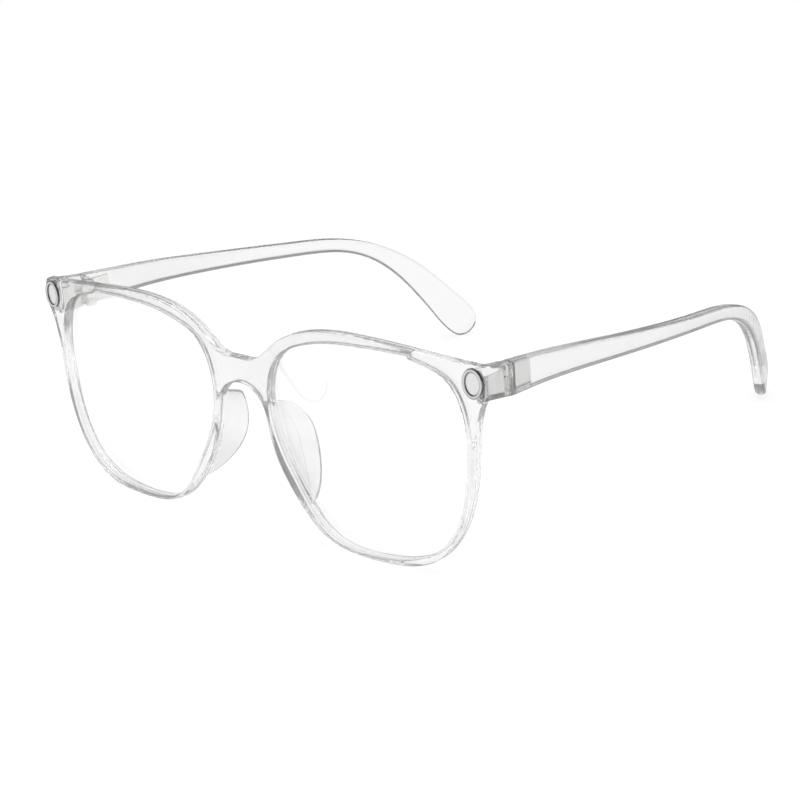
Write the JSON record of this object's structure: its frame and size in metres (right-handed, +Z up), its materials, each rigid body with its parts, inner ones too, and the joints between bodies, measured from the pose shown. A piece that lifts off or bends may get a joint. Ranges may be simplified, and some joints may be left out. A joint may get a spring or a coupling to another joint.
{
  "type": "eyeglasses",
  "caption": "Clear moulded eyeglasses with large square lenses, moulded nose pads, oval metal plaques and temples that fold on screw hinges.",
  "frame": {"origin": "on the table, under the middle of the open glasses' bounding box", "axes": "+Z up, +Y from the front back along the temples, +X to the wearer's left; the front looks towards -Y"},
  "size_m": [0.145, 0.148, 0.0544],
  "materials": {
    "clear_plastic": "polished, transparent, colourless",
    "lens": "polished, transparent, anti-reflective",
    "polished_metal": "polished",
    "hinge_metal": "bright nickel"
  },
  "bodies": {
    "front": {"front_frame": "clear_plastic", "lens_left": "lens", "lens_right": "lens", "plaque_left": "polished_metal", "plaque_right": "polished_metal", "front_hinge_left": "hinge_metal", "front_hinge_right": "hinge_metal"},
    "left_temple": {"temple_left": "clear_plastic", "temple_hinge_left": "hinge_metal", "hinge_screw_left": "hinge_metal"},
    "right_temple": {"temple_right": "clear_plastic", "temple_hinge_right": "hinge_metal", "hinge_screw_right": "hinge_metal"}
  },
  "joints": [
    {"name": "left_temple_fold", "type": "hinge", "parent": "front", "child": "left_temple", "pos_m": [0.0673, -0.0592, 0.04565], "axis": [0, 0, 1], "range_deg": [0, 84]},
    {"name": "right_temple_fold", "type": "hinge", "parent": "front", "child": "right_temple", "pos_m": [-0.0673, -0.0592, 0.04565], "axis": [0, 0, -1], "range_deg": [0, 76]}
  ]
}
